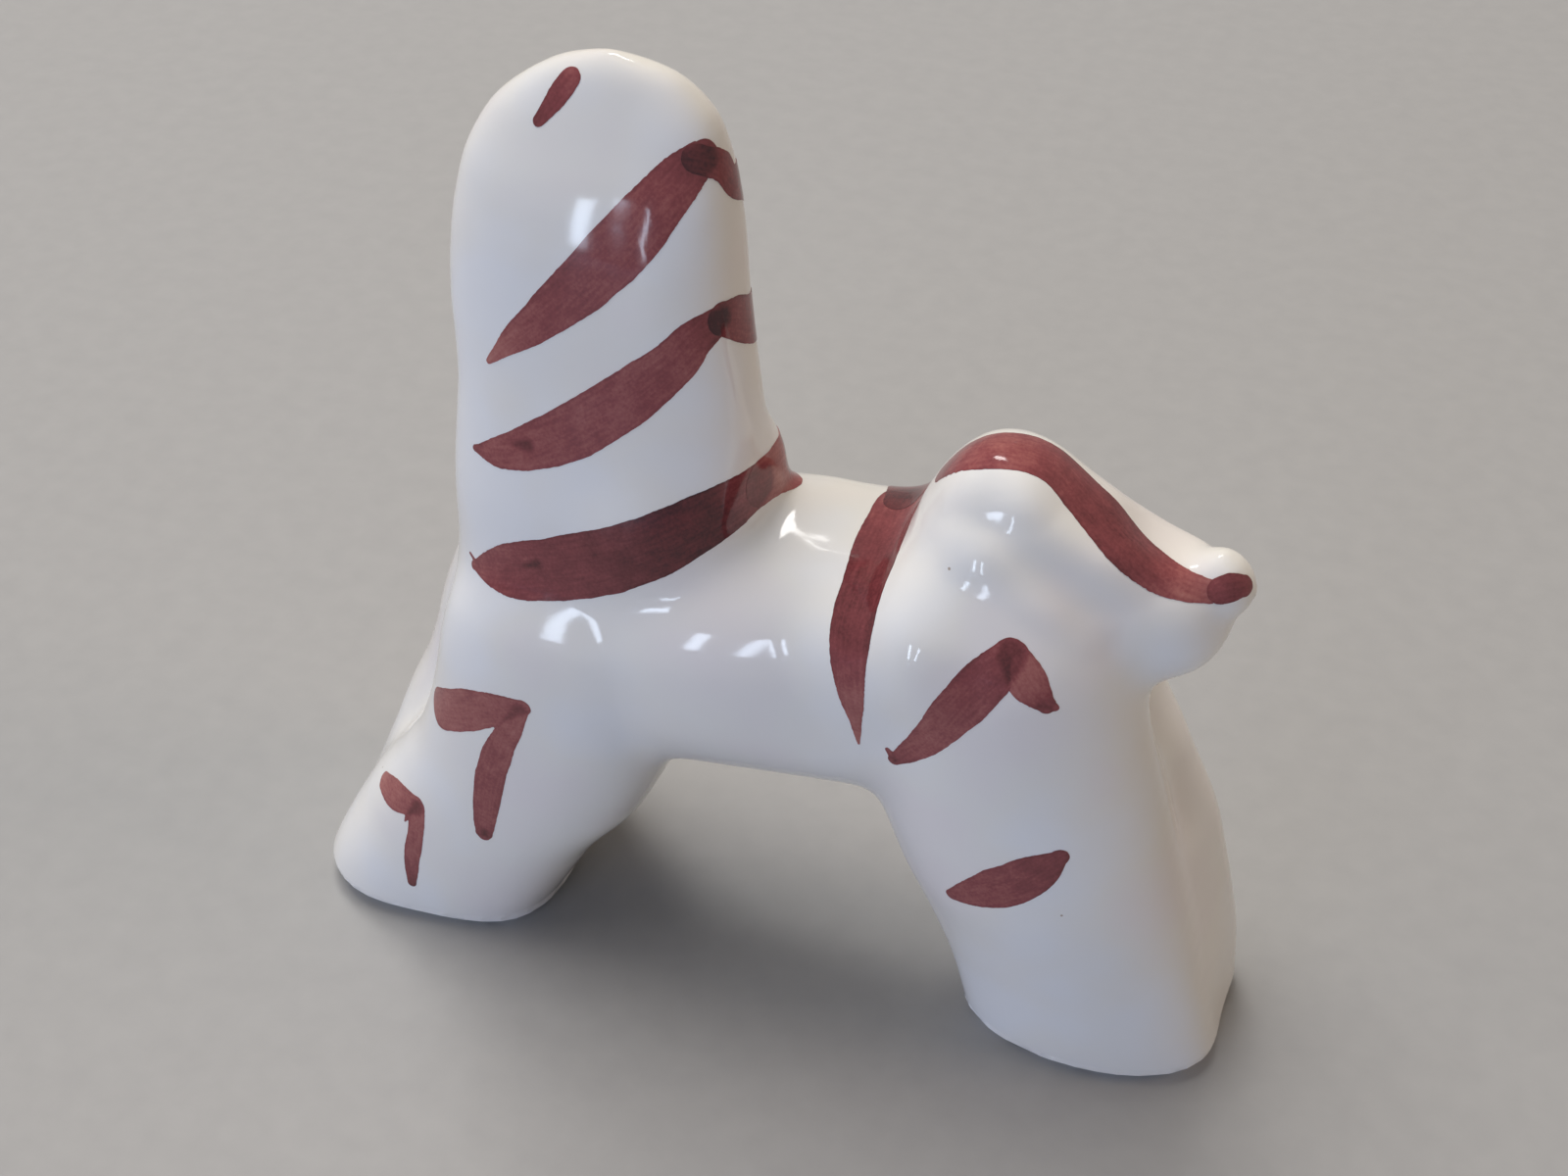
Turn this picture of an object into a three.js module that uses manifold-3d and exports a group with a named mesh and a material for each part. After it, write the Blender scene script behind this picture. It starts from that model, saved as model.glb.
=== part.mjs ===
// A small glazed pottery animal: a tall blade of a tail, a short round trunk, a low snouted head
// and two pairs of thick legs, with iron-red brush strokes on both sides.
// Millimetres, +Z up. The animal faces +X, and its right side faces -Y.
import * as THREE from 'three';
import { LoftGeometry } from 'three/addons/geometries/LoftGeometry.js';
import { mergeVertices } from 'three/addons/utils/BufferGeometryUtils.js';
import Module from 'manifold-3d';

const wasm = await Module();
wasm.setup();

// Trunk: a barrel lying along X that rises a little towards the shoulders
const TRUNK_LENGTH = 50;
const TRUNK_HEIGHT = 24.5;
const TRUNK_WIDTH = 22;
const TRUNK_AXIS_Z = 35.5;
const TRUNK_PITCH = 3;
const TRUNK_END_ROUNDING = 12;

// Tail: an upright blade that flares where it grows out of the rump and thins towards its tip
const TAIL_INSET = 9.6;
const TAIL_DEPTH = 9;
const TAIL_RISE = 52.2;
const TAIL_ROOT_LENGTH = 28;
const TAIL_ROOT_THICKNESS = 18;
const TAIL_LENGTH = 26.2;
const TAIL_THICKNESS = 13;
const TAIL_TIP_LENGTH = 23.4;
const TAIL_SHOULDER_THICKNESS = 11.6;
const TAIL_TIP_THICKNESS = 8.4;
const TAIL_TIP_LEAN = 2.6;
const TAIL_TIP_ROUNDING = 15;

// Heights of the leg sections above the ground
const ANKLE_Z = 10;
const KNEE_Z = 20;

// Hind legs: the hip's place, how far knee, ankle and foot stand behind it, and their lengths. The
// left hip was set on a little further back than the right one
const HIP_INSET = 7.6;
const LEFT_HIP_SETBACK = 2.8;
const HIP_RISE = 9;
const HIP_LENGTH = 24;
const HIND_KNEE_SETBACK = 4.2;
const HIND_ANKLE_SETBACK = 10.2;
const HIND_FOOT_SETBACK = 15.4;
const HIND_KNEE_LENGTH = 23.5;
const HIND_ANKLE_LENGTH = 25;
const HIND_FOOT_LENGTH = 24.5;
const HIND_FOOT_WIDTH = 16.8;

// Fore legs: the shoulder's place, how far knee, ankle and foot stand before it, and their lengths
const SHOULDER_INSET = 4.5;
const SHOULDER_RISE = 18.5;
const SHOULDER_LEAN = 1.5;
const SHOULDER_LENGTH = 25;
const SHOULDER_TOP_LENGTH = 20;
const FORE_KNEE_REACH = 4.5;
const FORE_ANKLE_REACH = 8;
const FORE_FOOT_REACH = 10.7;
const FORE_FOOT_LENGTH = 23.4;
const FORE_FOOT_WIDTH = 12.6;

// All legs: the stance across, each leg's width at its root, and its roundings
const LEG_STANCE = 8.6;
const LEG_ROOT_WIDTH = 16.2;
const LEG_ROOT_ROUNDING = 11;
const FOOT_EDGE_ROUNDING = 2;
const SOLE_SHARE = 0.9;

// Head: a roof-shaped form that lies on the shoulders and narrows to a muzzle
const HEAD_OVERHANG = 9.5;
const HEAD_LENGTH = 26.3;
const HEAD_HEIGHT = 23;
const HEAD_WIDTH = 21;
const HEAD_RISE = 12.2;
const HEAD_BACK_ROUNDING = 8;
const MUZZLE_LENGTH = 18.5;
const MUZZLE_HEIGHT = 9;
const MUZZLE_WIDTH = 9;
const MUZZLE_RISE = 11.3;
const MUZZLE_END_ROUNDING = 3.5;

// Nose: a small knob on the upper edge of the muzzle
const NOSE_LENGTH = 6;
const NOSE_HEIGHT = 5.4;
const NOSE_WIDTH = 5.6;
const NOSE_STAND_OUT = 1.6;
const NOSE_LIFT = 3.4;

// Fit between neighbouring pieces
const JOINT_GAP = 0.3;

// Brushed colour: the brush's width when pressed down, and the thickness of the colour
const BRUSH_WIDTH = 5;
const STROKE_THICKNESS = 0.3;

// How square the sections are: 2 is an ellipse, more is boxier, less is nearer a diamond
const ROUND = 2;
const FULL_ROUND = 2.3;
const BLADE_ROUND = 2.6;
const ROOF_ROUND = 1.7;

// Facets: points round a section, rows along a form and along each rounded end, the share of the
// section that is left flat on a rounded end, and steps along a brush stroke
const SIDES = 24;
const BODY_ROWS = 7;
const END_ROWS = 4;
const POINT_SHARE = 0.08;
const STROKE_STEPS = 8;
const CURVE_HALVINGS = 30;

const glazedClay = () => new THREE.MeshStandardMaterial({ color: 0xe9e4dc, roughness: 0.12, metalness: 0 });
const ironRed = () => new THREE.MeshStandardMaterial({ color: 0x5e2622, roughness: 0.15, metalness: 0 });

// A closed mesh becomes a solid that can be joined and cut
function solidFrom(geometry) {
  const plain = new THREE.BufferGeometry();
  plain.setAttribute('position', geometry.attributes.position);
  plain.setIndex(geometry.index);
  const merged = mergeVertices(plain);
  return new wasm.Manifold(
    new wasm.Mesh({
      numProp: 3,
      vertProperties: new Float32Array(merged.attributes.position.array),
      triVerts: new Uint32Array(merged.index.array),
    }),
  );
}

// The solid's triangles go back into a mesh with its own name and finish
function meshFrom(solid, name, material) {
  const { vertProperties, triVerts } = solid.getMesh();
  const geometry = new THREE.BufferGeometry();
  geometry.setAttribute('position', new THREE.BufferAttribute(new Float32Array(vertProperties), 3));
  geometry.setIndex(new THREE.BufferAttribute(new Uint32Array(triVerts), 1));
  geometry.computeVertexNormals();
  const mesh = new THREE.Mesh(geometry, material);
  mesh.name = name;
  return mesh;
}

// A form is a row of stations: at is the place along the form, mid its centre line's height or
// setback there, side its centre's Y, deep and wide the full sizes of the section, and square how
// boxy the section is
class Form {
  constructor(axis, stations, { startRounding, endRounding, startShare = POINT_SHARE }) {
    Object.assign(this, { axis, startRounding, endRounding, startShare });
    this.start = stations[0].at;
    this.end = stations.at(-1).at;
    this.curves = {};
    for (const key of ['mid', 'side', 'deep', 'wide', 'square']) {
      const points = stations.map((station) => new THREE.Vector3(station.at, station[key] ?? 0, 0));
      this.curves[key] = new THREE.CatmullRomCurve3(points, false, 'centripetal');
    }
  }

  // The smooth value of one of the curves at a place along the form
  value(key, at) {
    const curve = this.curves[key];
    let low = 0;
    let high = 1;
    for (let i = 0; i < CURVE_HALVINGS; i++) {
      const t = (low + high) / 2;
      if (curve.getPoint(t).x < at) low = t;
      else high = t;
    }
    return curve.getPoint((low + high) / 2).y;
  }

  // A point of the side view: along runs 0 to 1 from start to end, across -1 to 1 over the depth
  place(along, across) {
    const at = THREE.MathUtils.lerp(this.start, this.end, along);
    const mid = this.value('mid', at) + (across * this.value('deep', at)) / 2;
    return this.axis === 'z' ? new THREE.Vector2(mid, at) : new THREE.Vector2(at, mid);
  }

  // One section of the form, as a ring of points
  section(at, scale, grow) {
    const inside = THREE.MathUtils.clamp(at, this.start, this.end);
    const mid = this.value('mid', inside);
    const side = this.value('side', inside);
    const deep = (this.value('deep', inside) / 2) * scale + grow;
    const wide = (this.value('wide', inside) / 2) * scale + grow;
    const bend = 2 / this.value('square', inside);
    const curl = (v) => Math.sign(v) * Math.abs(v) ** bend;
    const ring = [];
    for (let i = 0; i < SIDES; i++) {
      const angle = (i / SIDES) * Math.PI * 2;
      const u = mid + deep * curl(Math.cos(angle));
      const v = side + wide * curl(Math.sin(angle));
      ring.push(this.axis === 'z' ? new THREE.Vector3(u, v, at) : new THREE.Vector3(at, v, u));
    }
    return this.axis === 'z' ? ring : ring.reverse();
  }

  // The whole form as a solid, swollen by grow on every side
  solid(grow = 0) {
    const rings = [];
    const first = Math.acos(this.startShare);
    const last = Math.acos(POINT_SHARE);
    const from = this.start + this.startRounding;
    const to = this.end - this.endRounding;
    for (let i = END_ROWS; i > 0; i--) {
      const turn = (i / END_ROWS) * first;
      const reach = (Math.sin(turn) / Math.sin(first)) * this.startRounding;
      rings.push(this.section(from - reach - grow, Math.cos(turn), grow));
    }
    for (let i = 0; i <= BODY_ROWS; i++) {
      rings.push(this.section(THREE.MathUtils.lerp(from, to, i / BODY_ROWS), 1, grow));
    }
    for (let i = 1; i <= END_ROWS; i++) {
      const turn = (i / END_ROWS) * last;
      const reach = (Math.sin(turn) / Math.sin(last)) * this.endRounding;
      rings.push(this.section(to + reach + grow, Math.cos(turn), grow));
    }
    return solidFrom(new LoftGeometry(rings, { capStart: true, capEnd: true }));
  }
}

// Trunk
const trunkSection = { deep: TRUNK_HEIGHT, wide: TRUNK_WIDTH, square: FULL_ROUND };
const trunk = new Form(
  'x',
  [
    { at: -TRUNK_LENGTH / 2, mid: TRUNK_AXIS_Z - TRUNK_PITCH, ...trunkSection },
    { at: TRUNK_LENGTH / 2, mid: TRUNK_AXIS_Z + TRUNK_PITCH, ...trunkSection },
  ],
  { startRounding: TRUNK_END_ROUNDING, endRounding: TRUNK_END_ROUNDING },
);

// Tail
const tailX = -TRUNK_LENGTH / 2 + TAIL_INSET;
const tailTop = TRUNK_AXIS_Z + TAIL_RISE;
const tailRoot = { mid: tailX, deep: TAIL_ROOT_LENGTH, wide: TAIL_ROOT_THICKNESS, square: FULL_ROUND };
const tailBlade = { mid: tailX, deep: TAIL_LENGTH, wide: TAIL_THICKNESS, square: BLADE_ROUND };
const tailTip = { ...tailBlade, deep: TAIL_TIP_LENGTH, wide: TAIL_TIP_THICKNESS };
const tail = new Form(
  'z',
  [
    { at: TRUNK_AXIS_Z - TAIL_DEPTH, ...tailRoot },
    { at: TRUNK_AXIS_Z + TRUNK_HEIGHT / 2, ...tailRoot },
    { at: tailTop - 2 * TAIL_TIP_ROUNDING, ...tailBlade },
    {
      at: tailTop - TAIL_TIP_ROUNDING,
      ...tailTip,
      mid: tailX + TAIL_TIP_LEAN / 4,
      wide: TAIL_SHOULDER_THICKNESS,
    },
    { at: tailTop, ...tailTip, mid: tailX + TAIL_TIP_LEAN },
  ],
  { startRounding: TAIL_DEPTH / 2, endRounding: TAIL_TIP_ROUNDING },
);

// Legs: side is -1 for the animal's right and 1 for its left
const leg = (side, square, stations) => new Form(
  'z',
  stations.map((station) => ({ side: (side * LEG_STANCE) / 2, square, ...station })),
  { startRounding: FOOT_EDGE_ROUNDING, startShare: SOLE_SHARE, endRounding: LEG_ROOT_ROUNDING },
);
const hipX = -TRUNK_LENGTH / 2 + HIP_INSET;
const hindLeg = (side) => {
  const rootX = side > 0 ? hipX - LEFT_HIP_SETBACK : hipX;
  const ankleX = (rootX + hipX) / 2;
  return leg(side, FULL_ROUND, [
    { at: 0, mid: hipX - HIND_FOOT_SETBACK, deep: HIND_FOOT_LENGTH, wide: HIND_FOOT_WIDTH },
    { at: ANKLE_Z, mid: ankleX - HIND_ANKLE_SETBACK, deep: HIND_ANKLE_LENGTH, wide: HIND_FOOT_WIDTH },
    { at: KNEE_Z, mid: rootX - HIND_KNEE_SETBACK, deep: HIND_KNEE_LENGTH, wide: LEG_ROOT_WIDTH },
    { at: TRUNK_AXIS_Z, mid: rootX, deep: HIP_LENGTH, wide: LEG_ROOT_WIDTH },
    { at: TRUNK_AXIS_Z + HIP_RISE, mid: rootX, deep: HIP_LENGTH, wide: LEG_ROOT_WIDTH },
  ]);
};
const shoulderX = TRUNK_LENGTH / 2 - SHOULDER_INSET;
const foreLeg = (side) => leg(side, ROUND, [
  { at: 0, mid: shoulderX + FORE_FOOT_REACH, deep: FORE_FOOT_LENGTH, wide: FORE_FOOT_WIDTH },
  { at: ANKLE_Z, mid: shoulderX + FORE_ANKLE_REACH, deep: FORE_FOOT_LENGTH, wide: FORE_FOOT_WIDTH },
  { at: KNEE_Z, mid: shoulderX + FORE_KNEE_REACH, deep: SHOULDER_LENGTH, wide: LEG_ROOT_WIDTH },
  { at: TRUNK_AXIS_Z, mid: shoulderX, deep: SHOULDER_LENGTH, wide: LEG_ROOT_WIDTH },
  {
    at: TRUNK_AXIS_Z + SHOULDER_RISE,
    mid: shoulderX - SHOULDER_LEAN,
    deep: SHOULDER_TOP_LENGTH,
    wide: LEG_ROOT_WIDTH,
  },
]);
const legs = {
  rear_right_leg: { side: -1, form: hindLeg(-1) },
  rear_left_leg: { side: 1, form: hindLeg(1) },
  front_right_leg: { side: -1, form: foreLeg(-1) },
  front_left_leg: { side: 1, form: foreLeg(1) },
};

// Head
const headBack = shoulderX - HEAD_OVERHANG;
const muzzleEnd = headBack + HEAD_LENGTH;
const muzzleZ = TRUNK_AXIS_Z + MUZZLE_RISE;
const skull = { mid: TRUNK_AXIS_Z + HEAD_RISE, deep: HEAD_HEIGHT, wide: HEAD_WIDTH, square: ROOF_ROUND };
const muzzle = { mid: muzzleZ, deep: MUZZLE_HEIGHT, wide: MUZZLE_WIDTH, square: ROUND };
const head = new Form(
  'x',
  [
    { at: headBack, ...skull },
    { at: muzzleEnd - MUZZLE_LENGTH, ...skull },
    {
      at: muzzleEnd - MUZZLE_LENGTH / 2,
      mid: (skull.mid + muzzle.mid) / 2,
      deep: Math.sqrt(skull.deep * muzzle.deep),
      wide: Math.sqrt(skull.wide * muzzle.wide),
      square: ROUND,
    },
    { at: muzzleEnd, ...muzzle },
  ],
  { startRounding: HEAD_BACK_ROUNDING, endRounding: MUZZLE_END_ROUNDING },
);

// Nose
const noseTip = muzzleEnd + NOSE_STAND_OUT;
const noseSection = { mid: muzzleZ + NOSE_LIFT, deep: NOSE_HEIGHT, wide: NOSE_WIDTH, square: ROUND };
const nose = new Form(
  'x',
  [{ at: noseTip - NOSE_LENGTH, ...noseSection }, { at: noseTip, ...noseSection }],
  { startRounding: NOSE_LENGTH / 2, endRounding: NOSE_LENGTH / 2 },
);

const forms = [trunk, tail, head, nose, ...Object.values(legs).map((item) => item.form)];
const whole = (grow) => forms.map((form) => form.solid(grow)).reduce((all, solid) => all.add(solid));

// Everything on one side of the figure that lies further out than a given distance
const SIDE_REACH = TRUNK_LENGTH + TAIL_RISE + HEAD_LENGTH;
function sideBlock(side, inner) {
  const block = new THREE.BoxGeometry(2 * SIDE_REACH, SIDE_REACH, 2 * SIDE_REACH);
  block.translate(0, side * (SIDE_REACH / 2 + inner), TRUNK_AXIS_Z);
  return solidFrom(block);
}

// Each piece is cut clear of the pieces that it is set against
const cutClear = (form, ...others) => others.reduce(
  (solid, other) => solid.subtract(other.solid(JOINT_GAP)), form.solid(),
);
const pieces = { trunk: trunk.solid() };
for (const [name, { side, form }] of Object.entries(legs)) {
  pieces[name] = cutClear(form, trunk).intersect(sideBlock(side, JOINT_GAP / 2));
}
pieces.tail_blade = cutClear(tail, trunk, legs.rear_right_leg.form, legs.rear_left_leg.form);
pieces.head = cutClear(head, trunk, legs.front_right_leg.form, legs.front_left_leg.form);
pieces.nose_tip = cutClear(nose, head);

// Brush strokes: each is one or two runs of the brush on the side view, and a run's points give
// the place along and across a form, and the share of the brush's width there
const runOf = (form, ...points) => ({ form, points });
const foreForm = legs.front_right_leg.form;
const hindForm = legs.rear_right_leg.form;
const strokes = {
  tail_dab: [runOf(tail, [0.98, -0.2, 0.36], [0.955, -0.27, 0.36], [0.925, -0.34, 0.24])],
  tail_upper: [
    runOf(
      tail,
      [0.57, -0.61, 0.16], [0.66, -0.25, 0.7], [0.77, 0.24, 1.04], [0.86, 0.54, 0.88], [0.89, 1, 0.56],
    ),
  ],
  tail_middle: [
    runOf(
      tail,
      [0.435, -0.68, 0.2], [0.46, -0.35, 0.8], [0.52, 0.1, 0.96], [0.62, 0.62, 0.76], [0.665, 1.1, 0.48],
    ),
  ],
  tail_base: [
    runOf(
      tail,
      [0.24, -0.72, 0.16], [0.27, -0.44, 0.84], [0.33, 0.25, 1.04], [0.39, 0.77, 0.96], [0.41, 1.2, 0.8],
    ),
  ],
  collar: [
    runOf(
      trunk,
      [0.7, -0.06, 0.12], [0.695, 0.35, 0.52], [0.685, 0.65, 0.72], [0.685, 1, 0.72], [0.7, 1.2, 0.68],
    ),
  ],
  shoulder: [
    runOf(foreForm, [0.625, -0.62, 0.2], [0.69, -0.36, 0.54], [0.8, -0.04, 0.84], [0.885, 0.26, 0.64]),
    runOf(foreForm, [0.89, 0.25, 0.56], [0.845, 0.39, 0.66], [0.81, 0.5, 0.34]),
  ],
  fore_leg: [
    runOf(
      foreForm,
      [0.37, -0.47, 0.16], [0.42, -0.17, 0.56], [0.46, 0.11, 0.7], [0.525, 0.45, 0.2],
    ),
  ],
  thigh: [
    runOf(hindForm, [0.575, -0.81, 0.68], [0.65, -0.44, 0.6], [0.7, -0.12, 0.32]),
    runOf(hindForm, [0.7, -0.12, 0.32], [0.575, -0.2, 0.5], [0.47, -0.2, 0.48], [0.3, 0.05, 0.28]),
  ],
  hock: [
    runOf(hindForm, [0.283, -0.91, 0.3], [0.294, -0.75, 0.4], [0.309, -0.54, 0.32]),
    runOf(hindForm, [0.31, -0.54, 0.28], [0.23, -0.4, 0.26], [0.075, -0.22, 0.2]),
  ],
  brow: [
    runOf(head, [0.12, 0.92, 0.28], [0.24, 1.03, 0.44], [0.42, 1.07, 0.44], [0.57, 1.02, 0.4]),
    runOf(head, [0.57, 1.02, 0.4], [0.68, 0.95, 0.48], [0.79, 0.85, 0.44], [0.88, 0.83, 0.28]),
  ],
  nose_spot: [runOf(nose, [0.56, 0.46, 0.36], [0.72, 0.5, 0.4], [0.88, 0.5, 0.28])],
};

// The prism that one run of the brush fills on the side view
function runPrism({ form, points }) {
  const places = points.map(([along, across, share]) => {
    const place = form.place(along, across);
    return new THREE.Vector3(place.x, (share * BRUSH_WIDTH) / 2, place.y);
  });
  const curve = new THREE.CatmullRomCurve3(places, false, 'centripetal');
  const upper = [];
  const lower = [];
  for (let i = 0; i <= STROKE_STEPS; i++) {
    const { x, y: half, z } = curve.getPoint(i / STROKE_STEPS);
    const heading = curve.getTangent(i / STROKE_STEPS).setY(0).normalize();
    upper.push(new THREE.Vector2(x - heading.z * half, z + heading.x * half));
    lower.unshift(new THREE.Vector2(x + heading.z * half, z - heading.x * half));
  }
  const outline = new THREE.Shape([...upper, ...lower]);
  const prism = new THREE.ExtrudeGeometry(outline, { depth: 2 * SIDE_REACH, bevelEnabled: false });
  prism.translate(0, 0, -SIDE_REACH).rotateX(Math.PI / 2);
  prism.setIndex([...Array(prism.attributes.position.count).keys()]);
  return solidFrom(prism);
}

// The brushed colour lies on the clay as a skin. The two sides mirror each other, but for the dab
// near the tail's tip, which is on the right alone
const skin = whole(JOINT_GAP + STROKE_THICKNESS).subtract(whole(JOINT_GAP));
for (const [side, word] of [[-1, 'right'], [1, 'left']]) {
  for (const [name, runs] of Object.entries(strokes)) {
    if (word === 'left' && name === 'tail_dab') continue;
    const prism = runs.map(runPrism).reduce((all, run) => all.add(run));
    const onLeg = runs[0].form === foreForm || runs[0].form === hindForm;
    const block = sideBlock(side, onLeg ? LEG_STANCE / 2 : JOINT_GAP / 2);
    pieces[`${word}_${name}_stroke`] = skin.intersect(prism).intersect(block);
  }
}

const figure = new THREE.Group();
for (const [name, solid] of Object.entries(pieces)) {
  const finish = name.endsWith('_stroke') ? ironRed() : glazedClay();
  figure.add(meshFrom(solid, name, finish));
}

// The figure stands on the ground with the middle of its length at the origin
const box = new THREE.Box3().setFromObject(figure);
figure.position.x = -(box.min.x + box.max.x) / 2;

export default figure;
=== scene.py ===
# %% [markdown]
# # A glazed pottery animal
# This lesson dresses a small pottery figure: a cream glaze over one smooth clay body, and bold
# strokes of iron-red colour laid on with a brush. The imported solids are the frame. They give the
# true size and place of every form, and nothing here moves them. We build the smooth body and the
# strokes over them, in metres, in the same frame.

# %% Load the frame
import math

import bmesh
import bpy
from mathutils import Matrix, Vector, noise
from mathutils.bvhtree import BVHTree
from mathutils.geometry import intersect_point_line
from mathutils.kdtree import KDTree


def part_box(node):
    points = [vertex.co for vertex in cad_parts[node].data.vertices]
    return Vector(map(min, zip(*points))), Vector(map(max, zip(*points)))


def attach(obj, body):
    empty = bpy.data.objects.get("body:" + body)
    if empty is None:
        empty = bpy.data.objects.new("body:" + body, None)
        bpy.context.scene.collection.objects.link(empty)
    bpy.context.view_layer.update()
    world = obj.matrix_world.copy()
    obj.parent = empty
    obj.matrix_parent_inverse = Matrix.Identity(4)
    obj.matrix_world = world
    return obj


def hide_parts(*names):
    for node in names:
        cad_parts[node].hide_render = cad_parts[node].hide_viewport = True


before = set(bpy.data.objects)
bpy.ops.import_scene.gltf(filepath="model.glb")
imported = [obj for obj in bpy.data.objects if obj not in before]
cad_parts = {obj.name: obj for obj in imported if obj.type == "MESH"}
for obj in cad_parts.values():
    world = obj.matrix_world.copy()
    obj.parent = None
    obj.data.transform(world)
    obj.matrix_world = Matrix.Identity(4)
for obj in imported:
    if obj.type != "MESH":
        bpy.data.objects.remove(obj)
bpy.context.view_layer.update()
MM = 0.001
print("packed nodes:", len(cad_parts))

# %% [markdown]
# ## The camera
# The figure is looked at from a little to its front and well above it, as one looks down at a thing
# on a table. A camera could be dragged into place by eye, but placing it by angles round a point
# keeps it easy to change: azimuth turns it round the figure, elevation lifts it, and the distance
# and the field of view together set the perspective.

# %% Place the camera
CAMERA_AZIMUTH = math.radians(19)
CAMERA_ELEVATION = math.radians(40)
CAMERA_DISTANCE = 193.6 * MM
FIELD_OF_VIEW = math.radians(38)
LOOK_AT = Vector((0.99, 0, 40)) * MM
SENSOR_WIDTH = 36


def direction(azimuth, elevation):
    """A unit vector that points from the figure to something round it."""
    flat = math.cos(elevation)
    return Vector((math.sin(azimuth) * flat, -math.cos(azimuth) * flat, math.sin(elevation)))


camera_data = bpy.data.cameras.new("camera")
camera_data.sensor_width = SENSOR_WIDTH
camera_data.lens = SENSOR_WIDTH / 2 / math.tan(FIELD_OF_VIEW / 2)
camera_data.clip_start = CAMERA_DISTANCE / 100
camera = bpy.data.objects.new("camera", camera_data)
to_camera = direction(CAMERA_AZIMUTH, CAMERA_ELEVATION)
camera.location = LOOK_AT + to_camera * CAMERA_DISTANCE
camera.rotation_euler = to_camera.to_track_quat("Z", "Y").to_euler()
bpy.context.scene.collection.objects.link(camera)
bpy.context.scene.camera = camera
print("lens in mm:", round(camera_data.lens, 1))

# %% [markdown]
# ## The clay body
# On the real figure the trunk, legs, tail, head and nose were pressed together wet, and the joins
# were wiped smooth before glazing, so no seam is left. We could model one body with a subdivision
# surface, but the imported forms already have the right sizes. So we copy them, swell each a little
# until neighbours overlap, and let a voxel remesh turn the overlapping copies into one skin.
# The soles are drawn down past the ground first, along the slant of the leg, so that the flat cut
# at ground level is made later through a full leg.

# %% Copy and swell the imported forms
CLAY_FORMS = [
    "trunk", "tail_blade", "head", "nose_tip",
    "rear_right_leg", "rear_left_leg", "front_right_leg", "front_left_leg",
]
WELD = 0.001 * MM
SWELL = 0.4 * MM
NOSE_SWELL = 0.2 * MM
SOLE_START = 3 * MM
SOLE_STRETCH = 4
HIND_SLANT = -0.52
FORE_SLANT = 0.27


def copied_form(name):
    """One packed form as a bmesh, with its loose triangles joined and a leg's sole drawn down."""
    form = bmesh.new()
    form.from_mesh(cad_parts[name].data)
    bmesh.ops.remove_doubles(form, verts=form.verts, dist=WELD)
    if name.endswith("leg"):
        slant = HIND_SLANT if name.startswith("rear") else FORE_SLANT
        for vert in form.verts:
            drop = max(0, SOLE_START - vert.co.z) * SOLE_STRETCH
            vert.co += Vector((slant * drop, 0, -drop))
    return form


def swell(form, amount):
    """Moves every point out along its normal."""
    form.normal_update()
    for vert in form.verts:
        vert.co += vert.normal * amount


def add_form(form, everything):
    """Puts one form's mesh into the bmesh that gathers all of them."""
    form_mesh = bpy.data.meshes.new("form")
    form.to_mesh(form_mesh)
    everything.from_mesh(form_mesh)
    form.free()
    bpy.data.meshes.remove(form_mesh)


joined = bmesh.new()
for name in CLAY_FORMS:
    form = copied_form(name)
    swell(form, NOSE_SWELL if name == "nose_tip" else SWELL)
    add_form(form, joined)
print("faces in the swollen copies:", len(joined.faces))

# %% [markdown]
# ## Legs pressed together
# The two legs of a pair touch, and the wet clay between them was stroked into one column, so that
# only a shallow hollow is left high up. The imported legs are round, so there is a deep notch between
# them. A copy of a leg, moved to the middle of its pair, fills the notch like clay pressed in
# with a thumb. Shrunk a little, it leaves the hollow; a second copy that is kept full but cut off
# above the foot closes the notch lower down.

# %% Fill the notch between the legs
FILLING_LEGS = ["rear_right_leg", "front_right_leg", "front_left_leg"]
HALF_STANCE = 4.3 * MM
HOLLOW = 0.9 * MM
FOOT_FILL_TOP = {"rear": 12 * MM, "front": 22 * MM}
FOOT_FILL_SWELL = SWELL / 2


def middle_leg(name):
    """A copy of a leg, moved to the middle of its pair."""
    leg = copied_form(name)
    inwards = HALF_STANCE if "right" in name else -HALF_STANCE
    bmesh.ops.translate(leg, verts=leg.verts, vec=(0, inwards, 0))
    return leg


def foot_fill(name):
    """The lower part of a leg in the middle of its pair, closed at the top."""
    leg = middle_leg(name)
    top = FOOT_FILL_TOP[name.split("_")[0]]
    whole = leg.verts[:] + leg.edges[:] + leg.faces[:]
    bmesh.ops.bisect_plane(leg, geom=whole, plane_co=(0, 0, top), plane_no=(0, 0, 1), clear_outer=True)
    bmesh.ops.holes_fill(leg, edges=[edge for edge in leg.edges if edge.is_boundary])
    return leg


for name in FILLING_LEGS:
    upper = middle_leg(name)
    swell(upper, -HOLLOW)
    add_form(upper, joined)
    lower = foot_fill(name)
    swell(lower, FOOT_FILL_SWELL)
    add_form(lower, joined)
body_mesh = bpy.data.meshes.new("clay_body")
joined.to_mesh(body_mesh)
joined.free()
body = bpy.data.objects.new("clay_body", body_mesh)
bpy.context.scene.collection.objects.link(body)
print("faces with the filled notches:", len(body_mesh.polygons))

# %% [markdown]
# ## One skin
# The Remesh modifier in voxel mode wraps all the copies in a single skin of small even squares.
# Pockets that are shut in between the copies come out as separate islands, and only the largest
# island is the figure's outside, so the others are deleted.

# %% Remesh into one skin
VOXEL = 0.5 * MM


def with_modifiers(obj):
    """Replaces the object's mesh by the mesh that its modifiers make, and drops the modifiers."""
    graph = bpy.context.evaluated_depsgraph_get()
    finished = bpy.data.meshes.new_from_object(obj.evaluated_get(graph))
    old = obj.data
    obj.modifiers.clear()
    obj.data = finished
    bpy.data.meshes.remove(old)


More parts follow.
